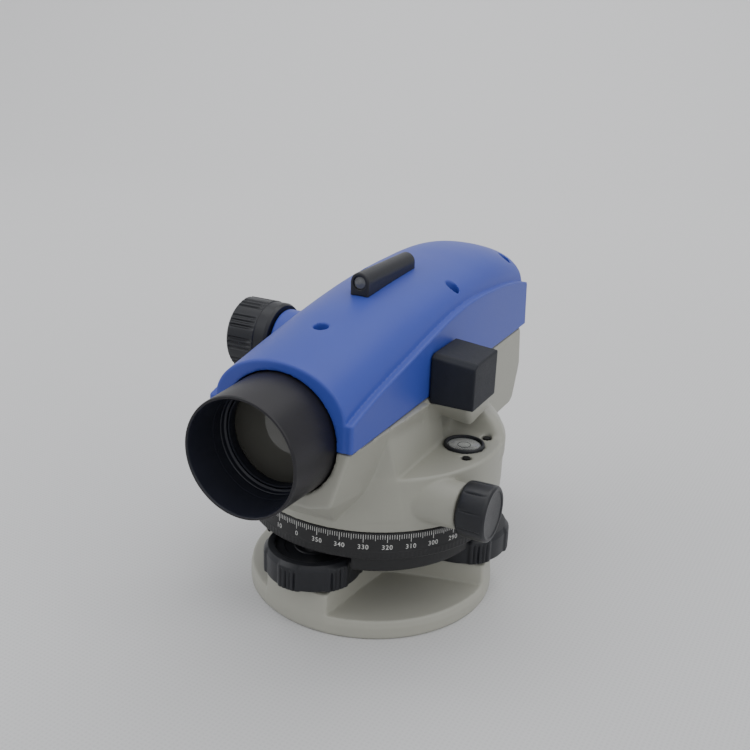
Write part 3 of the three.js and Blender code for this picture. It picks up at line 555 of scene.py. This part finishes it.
def digits(text, size):
    """Flat outline of generic numerals, as triangles in mm with its middle at x 0 and its foot at y 0."""
    cu = bpy.data.curves.new("numeral", "FONT")
    cu.body = text
    cu.size = size
    cu.align_x = "CENTER"
    cu.space_character = 1.12
    cu.resolution_u = 3
    cu.offset = 0.004 * size
    ob = bpy.data.objects.new("numeral", cu)
    bpy.context.scene.collection.objects.link(ob)
    dg = bpy.context.evaluated_depsgraph_get()
    me = bpy.data.meshes.new_from_object(ob.evaluated_get(dg))
    vs = [(q.co.x, q.co.y) for q in me.vertices]
    fs = [tuple(p.vertices) for p in me.polygons]
    bpy.data.objects.remove(ob)
    bpy.data.curves.remove(cu)
    bpy.data.meshes.remove(me)
    return vs, fs


for lab in range(0, 360, 10):
    vs, fs = digits(str(lab), 2.95)
    az0 = math.radians(ZERO_AZ - lab)
    pts = [(RM * math.cos(az0 + x * 0.95 / RM), RM * math.sin(az0 + x * 0.95 / RM), 43.15 + y) for x, y in vs]
    marks.append((pts, fs))
v, f = joined(marks)
put("circle_divisions", v, f, M["white"], "circle", (), sharp=0)

# ------------------------------------------------------------------ casting
DR = 56.4
BX = 30.0


def housing(P):
    X, Y, Z = P[:, 0], P[:, 1], P[:, 2]
    aX = np.abs(X)
    r = np.hypot(X, Y)
    drum = poly(r, Z, [(-5, 50.9), (55.9, 50.9), (56.2, 51.3), (DR, 57), (DR, 74.8), (-5, 74.8)])
    drum = cap2(drum, Z - 74.8, 2.0)
    # telescope body
    sec = poly(aX, Z, [(-5, 110), (30.6, 110), (30.6, 98), (BX, 97), (BX, 79), (28.6, 74.6), (24, 71.2), (-5, 71.2)])
    upper = smax(smax(sec, -20 - Y, 1.0), Y - (101.4 - 0.15 * (Z - 73.5)), 2.6)
    d = smin(drum, upper, 6.5)
    # front wall of the drum carried up to the cover
    tall = r - (DR - 0.2 + 0.095 * np.maximum(Z - 77, 0) ** 1.18)
    tall = smax(smax(tall, aX - (29.8 + 0.12 * (97 - Z)), 0.9), Y, 1.0)
    tall = np.maximum(tall, 56 - Z)
    d = smin(d, tall, 1.2)
    # chin
    side = (aX - 22.2) * 0.9484 - (Y + 80.5) * 0.0597 - (Z - 74.7) * 0.3116
    keel = (aX - 22.2) * 0.7942 - (Y + 80.5) * 0.1143 - (Z - 74.7) * 0.5966
    under = (aX - 10.9) * 0.1975 - (Y + 80.5) * 0.5708 - (Z - 71.9) * 0.7971
    middle = -(Y + 80.5) * 0.5854 - (Z - 72.3) * 0.8108
    under = np.maximum(under, middle)
    chin = smax(smax(side, -80.6 - Y, 1.3), smax(under, keel, 0.6), 0.7)
    chin = np.maximum(chin, 51.0 - Z)
    chin = np.maximum(chin, Y + 20)
    d = smin(d, chin, 0.9)
    # raised wall behind the bubble
    sh = smax(cap2(r - (DR - 0.1), Z - 82.6, 10.0), (15.6 - Y) * 0.80 + (Z - 79) * 0.6, 4.0)
    sh = np.maximum(sh, 68 - Z)
    d = smin(d, sh, 2.4)
    # box under the eyepiece end
    rear = poly(Y, Z, [(36, 57.8), (70, 58.4), (92.4, 58.4), (96.2, 60.6), (101.2, 72.5), (101.4, 76), (98.2, 97.0), (40, 97.0)])
    rear = cap2(rear, aX - 30.3, 2.2)
    d = smin(d, rear, 3.0)
    # bosses of the horizontal drive
    boss = smax(np.hypot(Y + 32, Z - 62.5) - (9.3 + 0.055 * np.clip(55 - aX, 0, 25)), aX - 55.2, 0.8)
    boss = np.maximum(boss, 51.3 - Z)
    d = smin(d, boss, 0.6)
    # wedge under the prism housing
    wx, wy, wz = 43.9, 0.4, 82.4
    t = Z - wz
    w = smax((wy - Y - 1.15 * t) * 0.656, (0.13 * (Y - wy) - t) * 0.99, 1.2)
    w = smax(w, (Y - 11.0) * 0.74 + (Z - 95.4) * 0.67, 0.8)
    w = smax(w, (X - wx - 0.36 * t) * 0.94, 2.2)
    w = smax(w, (0.42 * (wx - X) - t) * 0.92, 1.5)
    w = smax(w, Z - 95.4, 0.3)
    w = smax(w, 24 - X, 0.5)
    d = smin(d, w, 3.6)
    # joint face under the cover
    d = np.maximum(d, Z - 97.6)
    # hollows
    d = np.maximum(d, -cylz(P, 0, 0, 51.9, 40, 71))
    room = np.maximum(rbox(P, (-27.2, -54, 75), (27.2, 94.6, 120)), np.where(Y < 0, r - 53, -5))
    d = np.maximum(d, -room)
    d = np.maximum(d, -cyly(P, 0, AX, 20.6, -90, -44))
    d = np.maximum(d, -rbox(P, (-25.6, 57, 61), (25.6, 92, 80)))
    d = np.minimum(d, cylz(P, 0, 0, 17, 65, 82))
    d = np.maximum(d, -cylz(P, 0, 0, 12.8, 50, 90))
    d = np.maximum(d, -cyly(P, 0, AX, 24.5, -90, -69.4))
    d = np.maximum(d, -cyly(P, 0, AX, 13.6, 88, 112))
    d = np.maximum(d, -cylx(P, -32, 62.5, 3.4, -72, 72))
    # bubble pocket and its screws
    d = cut(d, cylz(P, 42.3, -0.9, 8.75, 72.2, 78.4), 0.3)
    for s in (-1, 1):
        d = cut(d, cylz(P, 48.0, -0.9 + s * 11.7, 2.2, 72.6, 78), 0.4)
        d = np.maximum(d, -cylz(P, 48.0, -0.9 + s * 11.7, 1.1, 60, 78))
    return d


v, f = net(housing, (-58.5, -83.0, 49.6), (58.5, 103.6, 99.2), 0.75)
put("housing_body", v, f, M["beige"], "alidade", ("housing",), sharp=50)

# ------------------------------------------------------------------ blue cover
HUMP = [(-84, 126.9), (-80.7, 127.5), (-65, 130.2), (-50, 132.7), (-35, 135.3), (-20, 137.2), (0, 138.8), (25, 140.2), (45, 141.2), (62, 141.7), (74, 141.2), (86, 139.6), (96, 137.2), (102, 135.4), (107, 133.7)]
FLANGE = [(-84, 107.6), (-80.7, 108.7), (-65, 113), (-51, 116), (-34, 119.2), (-18.5, 122.2), (-8, 124.1), (8, 126.6), (29.5, 128.2), (53, 127.4), (70, 126), (88, 123.4), (103, 120.0), (107, 118.9)]
POSTS = [(0, -50.5), (22.4, 23.6), (-22.4, 23.6), (20.4, 93.5), (-20.4, 93.5)]
SEAT = [127.2, 128.2, 128.2, 126.0, 126.0]


def hump_shape(P, inset=0.0):
    X, Y, Z = P[:, 0], P[:, 1], P[:, 2]
    top = table(HUMP, Y) - inset
    c = table(FLANGE, Y) - 1.0 + 0.9 * np.clip((-70 - Y) / 10, 0, 1) - inset
    a = 27.6 - inset
    b = np.maximum(top - c, 3.0)
    zz = np.maximum(Z - c, 0)
    n = 2.0 + 0.25 * np.clip((Y + 20) / 90, 0, 1)
    u, w = np.abs(X / a) + 1e-9, zz / b + 1e-9
    s = u**n + w**n
    k = s ** (1 / n)
    g = np.sqrt((u ** (n - 1) / a) ** 2 + (w ** (n - 1) / b) ** 2) * s ** (1 / n - 1)
    return (k - 1) / np.maximum(g, 1e-4)


def cover(P):
    X, Y, Z = P[:, 0], P[:, 1], P[:, 2]
    aX = np.abs(X)
    rearp = (Y - (106.0 - 0.11 * (Z - 98))) * 0.994
    h = smax(hump_shape(P), -80.7 - Y, 0.9)
    h = smax(h, rearp, 2.4)
    fl = smax((Z - table(FLANGE, Y)) * 0.97, aX - 30.8, 1.0)
    fl = smax(fl, cap2(-80.6 - Y, aX - 30.8, 1.4), 0.5)
    fl = smax(fl, cap2(rearp, aX - 30.8, 2.2), 0.5)
    d = smin(h, fl, 0.5)
    collar = cylx(P, -14.3, 110.2, 13.4, -38.2, -24, 0.8)
    d = smin(d, collar, 1.6)
    d = cap2(d, 97.9 - Z, 0.5)
    inner = smax(hump_shape(P, 2.6), np.maximum(-77.7 - Y, rearp + 2.8), 1.0)
    lower = np.maximum(aX - 27.4, Z - (table(FLANGE, Y) - 5))
    lower = np.maximum(lower, np.maximum(-77.7 - Y, rearp + 2.8))
    d = np.maximum(d, -np.minimum(inner, lower))
    for (x, y), s in zip(POSTS, SEAT):
        post = cylz(P, x, y, 4.3, s - 3.0, s + 9)
        d = np.minimum(d, np.maximum(post, hump_shape(P, 1.0)))
    d = np.maximum(d, -cyly(P, 0, AX, 24.5, -90, -69.4))
    d = np.maximum(d, -cyly(P, 0, AX, 13.6, 90, 120))
    d = np.maximum(d, -cylx(P, -14.3, 110.2, 6.4, -60, -20))
    for (x, y), s in zip(POSTS, SEAT):
        d = cut(d, cylz(P, x, y, 3.0, s, 160), 0.35)
        d = np.maximum(d, -cylz(P, x, y, 1.5, 100, 160))
    return d


v, f = net(cover, (-39.6, -82.2, 96.6), (32.2, 107.6, 142.8), 0.62)
put("top_cover_shell", v, f, M["blue"], "alidade", ("top_cover",), sharp=50)

# ------------------------------------------------------------------ peep sight
def sight(P):
    X, Y, Z = P[:, 0], P[:, 1], P[:, 2]
    top = 146.8
    tube = np.hypot(X, Z - (top - 4.1)) - 4.1
    foot = np.maximum(np.abs(X) - 4.1, Z - (top - 4.1))
    d = smin(tube, foot, 0.2)
    d = smax(d, np.abs(Y - 2.1) - 22.3, 0.9)
    d = np.maximum(d, table(HUMP, Y) + 0.15 - 0.02 * X * X - Z)
    d = cut(d, cyly(P, 0, 142.55, 2.75, -30, 40), 0.3)
    return d


v, f = net(sight, (-5.4, -21.6, 134.6), (5.4, 26.0, 148.0), 0.4)
put("peep_sight_body", v, f, M["black"], "alidade", ("peep_sight",), sharp=40)
for nm, y0, y1, nodes in (("peep_sight_front_glass", -19.7, -18.2, ("peep_sight_front_lens",)), ("peep_sight_rear_glass", 22.0, 23.4, ())):
    s = -1 if y0 < 0 else 1
    edge = y0 if s < 0 else y1
    back = y1 if s < 0 else y0
    prof = [(0, edge + s * 0.5), (1.2, edge + s * 0.35), (2.0, edge + s * 0.1), (2.55, edge - s * 0.1), (2.6, back), (0, back)]
    v, f = turned(prof, "y", (0, 0, 142.55), 48)
    put(nm, v, f, M["sightglass"], "alidade", nodes, sharp=40)

# ------------------------------------------------------------------ objective end
hoodp = [(22.8, -105.9, 0.25), (23.05, -105.2, 0.3), (23.85, -81.5, 0.3), (23.85, -70.0, 0.2), (20.1, -70.0, 0.2), (20.1, -84.5, 0.15), (20.6, -84.9, 0.2), (20.9, -85.0, 0.2),
         (20.9, -86.6, 0.2), (21.25, -86.9, 0.15), (21.3, -91.0, 0.2), (21.45, -91.3, 0.1), (21.75, -105.3, 0.2), (22.0, -105.9, 0.2), (22.8, -105.9)]
v, f = turned(fillet(hoodp, 0.2, 4), "y", (0, 0, AX), 160)
hood = put("objective_hood_tube", v, f, [M["hood"], M["inside"]], "alidade", ("objective_hood",), sharp=35)
for p in hood.data.polygons:
    c = p.center
    rad = math.hypot(c.x, c.z - AX * 0.001) * 1000
    if rad < 22.0 and c.y * 1000 - FY < -70.5:
        p.material_index = 1
ringp = [(18.95, -83.9, 0.1), (19.1, -84.3, 0.1), (19.65, -84.4, 0.15), (19.75, -80.7, 0.1), (19.0, -80.7, 0.05), (18.95, -83.9)]
v, f = turned(fillet(ringp, 0.15, 3), "y", (0, 0, AX), 128)
put("objective_retaining_ring_body", v, f, M["inside"], "alidade", ("objective_retaining_ring",), sharp=35)
lens = [(0, -83.7)] + [(r, -83.7 + 3.1 * (r / 18.5) ** 2) for r in np.linspace(1.5, 18.2, 16)] + [(19.3, -80.3), (19.3, -74.3)] + [(r, -73.1 - 1.0 * (r / 18.8) ** 2) for r in np.linspace(16.0, 1.5, 10)] + [(0, -73.1)]
v, f = turned(lens, "y", (0, 0, AX), 128)
put("objective_lens_glass", v, f, M["lens"], "alidade", ("objective_lens",), sharp=40)

# ------------------------------------------------------------------ knobs
def ribbed(groups, per, pitch, depth, h_lo, h_hi, r_min, width):
    def radius(theta, r, h):
        if r < r_min or not (h_lo < h < h_hi):
            return r
        az = math.degrees(theta) % 360
        g = 360.0 / groups
        da = (az + g / 2) % g - g / 2
        fade = min(1.0, (h - h_lo) / 0.6, (h_hi - h) / 0.6)
        for k in range(per):
            c = (k - (per - 1) / 2) * pitch
            r -= depth * fade * math.exp(-((da - c) / width) ** 4)
        return r
    return radius


# focusing knob, on the far side
fx0, fx1, fr = 38.8, 59.0, 15.9
steps = [(fr, -x) for x in np.linspace(fx1 - 1.6, 45.8, 9)]
prof = [(0, -fx1 + 0.5), (11.5, -fx1 + 0.5, 0.2), (12.0, -fx1 + 0.05, 0.2), (14.4, -fx1, 0.6), (fr, -fx1 + 1.3, 0.6)] + steps[1:] + [(fr, -45.2, 0.1), (fr - 0.35, -44.9, 0.1), (fr - 0.3, -40.2, 0.3), (fr - 1.1, -fx0, 0.4), (2.95, -fx0), (2.95, -fx1 + 5.6), (0, -fx1 + 5.6)]
v, f = turned(fillet(prof, 0.3, 3), "x", (0, -14.3, 110.2), 360, ribbed(10, 3, 8.0, 0.75, -fx1 + 1.0, -45.6, 15.2, 2.3))
put("focus_knob_body", v, f, M["knob"], "focus_drive", ("focus_knob",), sharp=40)

# tangent knobs, one each side
for nm, s in (("tangent_knob_left", 1), ("tangent_knob_right", -1)):
    prof = [(0, 67.9), (9.3, 67.9, 0.2), (9.6, 68.3, 0.2), (10.5, 68.4, 0.3), (11.3, 67.8, 0.3), (11.5, 66.9, 0.2), (11.5, 64), (11.45, 61.5), (11.4, 59), (11.2, 57.2, 0.3), (10.8, 56.3, 0.3), (3.3, 56.2), (3.3, 64.4), (0, 64.4)]
    prof = [(p[0], s * p[1], *p[2:]) for p in prof]
    lo, hi = (57.0, 66.4) if s > 0 else (-66.4, -57.0)
    v, f = turned(fillet(prof, 0.2, 3), "x", (0, -32, 62.5), 216, ribbed(9, 1, 0, 0.5, lo, hi, 11.1, 1.7))
    put(nm + "_body", v, f, M["knob"], "tangent_drive", (nm,), sharp=40)

# dioptre ring and eyepiece barrel
prof = [(6.3, 118.1, 0.1), (6.3, 119.3, 0.2), (8.2, 119.9, 0.4), (13.2, 119.9, 0.6), (14.6, 117.0, 0.4), (15.5, 115.6, 0.3), (15.5, 113.5), (15.5, 111), (15.5, 109), (15.5, 107.6, 0.3), (15.0, 106.7, 0.3), (11.8, 106.7), (11.8, 118.1), (6.3, 118.1)]
v, f = turned(fillet(prof, 0.2, 3), "y", (0, 0, AX), 216, ribbed(18, 1, 0, 0.55, 107.6, 115.4, 15.0, 3.4))
put("dioptre_ring_body", v, f, M["knob"], "dioptre", ("dioptre_ring",), sharp=40)
prof = [(8.4, 90), (13.1, 90), (13.1, 106, 0.3), (11.4, 106.2, 0.2), (11.4, 117.5, 0.2), (8.4, 117.5), (8.4, 90)]
v, f = turned(fillet(prof, 0.2, 3), "y", (0, 0, AX), 96)
put("eyepiece_barrel_body", v, f, M["hood"], "alidade", ("eyepiece_barrel",), sharp=40)

# ------------------------------------------------------------------ circular bubble
VX, VY = 42.3, -0.9
prof = [(0, 72.5), (8.6, 72.5), (8.65, 75.0, 0.2), (8.45, 75.25, 0.2), (7.6, 75.3, 0.2), (7.35, 75.0, 0.1), (7.3, 73.5), (0, 73.5)]
v, f = turned(fillet(prof, 0.15, 3), "z", (VX, VY, 0), 120)
put("bubble_cup_ring", v, f, M["black"], "alidade", ("bubble_cup",), sharp=40)
prof = [(0, 73.55), (7.2, 73.55), (7.2, 73.75), (0, 73.8)]
v, f = turned(prof, "z", (VX, VY, 0), 96)
put("bubble_back_disc", v, f, M["vialback"], "alidade", (), sharp=40)
prof = [(2.5, 73.82), (2.85, 73.82), (2.85, 73.9), (2.5, 73.9), (2.5, 73.82)]
v, f = turned(prof, "z", (VX, VY, 0), 72)
put("bubble_target_ring", v, f, M["screw"], "alidade", (), sharp=40)
prof = [(0, 73.95), (7.1, 73.95, 0.1), (7.15, 74.0, 0.05), (7.15, 74.15, 0.1), (6.5, 74.4, 0.1), (3, 74.6), (0, 74.65)]
v, f = turned(fillet(prof, 0.1, 3), "z", (VX, VY, 0), 96)
put("bubble_vial_glass", v, f, M["vial"], "alidade", ("bubble_vial",), sharp=40)

# ------------------------------------------------------------------ prism housing
def prism_box(P):
    X, Y, Z = P[:, 0], P[:, 1], P[:, 2]
    d = rbox(P, (31.2, -15.4, 95.8), (50.4, 9.4, 119), 0.55)
    d = smax(d, (Z - (117.1 - 0.094 * (X - 31.2))) * 0.995, 0.9)
    d = smax(d, (-(Y + 15.4) * 0.62 + (Z - (115.4 - 0.094 * (X - 31.2))) * 0.785), 0.35)
    d = cut(d, rbox(P, (33.4, -13.2, 98), (48.2, 22, 113.4), 0.2), 0.3)
    d = cut(d, rbox(P, (37.2, -11, 90), (46.4, 2, 100), 0.2), 0.3)
    return d


v, f = net(prism_box, (30.0, -16.6, 94.6), (51.6, 10.6, 118.4), 0.4)
put("prism_housing_body", v, f, M["block"], "alidade", ("prism_housing",), sharp=45)

# ------------------------------------------------------------------ camera, floor and light
f1000 = dict(pitch=20.4, roll=2.11, yaw=26.4, dist=467.26, ox=370.63, oy=569.33)
F, DIST = 1000.0, f1000["dist"]
pi, ro, ya = (math.radians(f1000[k]) for k in ("pitch", "roll", "yaw"))
back = Vector((math.sin(ya) * math.cos(pi), -math.cos(ya) * math.cos(pi), math.sin(pi)))
xx = Vector((0, 0, 1)).cross(back).normalized()
yy = back.cross(xx)
x2 = math.cos(ro) * xx + math.sin(ro) * yy
y2 = -math.sin(ro) * xx + math.cos(ro) * yy
R = Matrix((x2, y2, back))
tvec = Vector(((f1000["ox"] - 375) / F * DIST, -(f1000["oy"] - 375) / F * DIST, -DIST))
loc = -(R.transposed() @ tvec)
cam = bpy.data.objects.new("camera", bpy.data.cameras.new("camera"))
cam.data.sensor_width = 36.0
cam.data.lens = 48.0
cam.data.clip_start = 0.01
cam.data.clip_end = 20
cam.matrix_world = Matrix.Translation(Vector((loc.x, loc.y + FY, loc.z)) * 0.001) @ R.transposed().to_4x4()
bpy.context.scene.collection.objects.link(cam)
bpy.context.scene.camera = cam

# seamless pale ground: a woven cloth that sweeps up into the backdrop far behind
fl = bpy.data.materials.new("pale_ground")
fl.use_nodes = True
t = fl.node_tree
b = t.nodes["Principled BSDF"]
b.inputs["Roughness"].default_value = 0.9
b.inputs["Specular IOR Level"].default_value = 0.15
co = t.nodes.new("ShaderNodeTexCoord")
weave = []
for ang in (28.0, 118.0):
    mp = t.nodes.new("ShaderNodeMapping")
    mp.inputs["Rotation"].default_value = (0, 0, math.radians(ang))
    t.links.new(co.outputs["Object"], mp.inputs["Vector"])
    wv = t.nodes.new("ShaderNodeTexWave")
    wv.inputs["Scale"].default_value = 165.0
    wv.bands_direction = "X"
    t.links.new(mp.outputs["Vector"], wv.inputs["Vector"])
    weave.append(wv)
cross = t.nodes.new("ShaderNodeMath")
cross.operation = "MULTIPLY"
t.links.new(weave[0].outputs["Fac"], cross.inputs[0])
t.links.new(weave[1].outputs["Fac"], cross.inputs[1])
ns = t.nodes.new("ShaderNodeTexNoise")
ns.inputs["Scale"].default_value = 40.0
ns.inputs["Detail"].default_value = 4.0
t.links.new(co.outputs["Object"], ns.inputs["Vector"])
mx = t.nodes.new("ShaderNodeMix")
mx.data_type = "RGBA"
mx.inputs["A"].default_value = (0.685, 0.685, 0.69, 1)
mx.inputs["B"].default_value = (0.625, 0.625, 0.632, 1)
t.links.new(cross.outputs[0], mx.inputs["Factor"])
t.links.new(mx.outputs["Result"], b.inputs["Base Color"])
bp = t.nodes.new("ShaderNodeBump")
bp.inputs["Distance"].default_value = 0.00015
bp.inputs["Strength"].default_value = 0.35
t.links.new(ns.outputs["Fac"], bp.inputs["Height"])
t.links.new(bp.outputs["Normal"], b.inputs["Normal"])
R_SWEEP, Y0, TOPZ = 1.6, 1.1, 4.0
prof = [(-3.5, 0.0), (Y0, 0.0)] + [(Y0 + R_SWEEP * math.sin(a), R_SWEEP * (1 - math.cos(a))) for a in np.linspace(0.05, math.pi / 2, 32)] + [(Y0 + R_SWEEP, TOPZ)]
vs, fs = [], []
for i, (yy_, zz_) in enumerate(prof):
    for j, xx_ in enumerate((-4.5, 4.5)):
        vs.append((xx_, yy_, zz_))
    if i:
        fs.append((2 * i - 2, 2 * i - 1, 2 * i + 1, 2 * i))
me = bpy.data.meshes.new("ground")
me.from_pydata(vs, [], fs)
me.shade_smooth()
me.materials.append(fl)
ground = bpy.data.objects.new("ground", me)
# the photograph's view is turned about the vertical, so the sweep is turned with it
ground.matrix_world = Matrix.Rotation(ya, 4, "Z")
bpy.context.scene.collection.objects.link(ground)


def area(name, loc, target, size, power, colour=(1, 1, 1)):
    li = bpy.data.lights.new(name, "AREA")
    li.shape = "RECTANGLE"
    li.size, li.size_y = size
    li.energy = power
    li.color = colour
    ob = bpy.data.objects.new(name, li)
    d = (Vector(target) - Vector(loc)).normalized()
    ob.matrix_world = Matrix.Translation(loc) @ d.to_track_quat("-Z", "Y").to_matrix().to_4x4()
    bpy.context.scene.collection.objects.link(ob)
    return ob


area("overhead", (0.15, 0.10, 1.45), (0, 0, 0), (2.0, 1.7), 9.5, (1.0, 1.0, 1.0))
area("left_fill", (-1.0, -0.6, 0.95), (0, 0, 0.06), (1.0, 0.8), 3.6, (0.97, 0.98, 1.0))
area("front_fill", (0.45, -1.3, 0.95), (0, 0, 0.06), (1.2, 0.6), 1.0, (1.0, 1.0, 1.0))
area("right_fill", (1.2, -0.2, 0.8), (0, 0, 0.08), (0.9, 0.9), 2.4, (1.0, 1.0, 0.98))
area("backdrop_light", (0.0, 0.75, 1.9), (-0.9, 2.4, 0.9), (2.4, 0.6), 31, (1.0, 1.0, 1.0))
world = bpy.data.worlds.new("studio")
bpy.context.scene.world = world
world.use_nodes = True
world.node_tree.nodes["Background"].inputs[0].default_value = (0.80, 0.81, 0.83, 1)
world.node_tree.nodes["Background"].inputs[1].default_value = 0.76
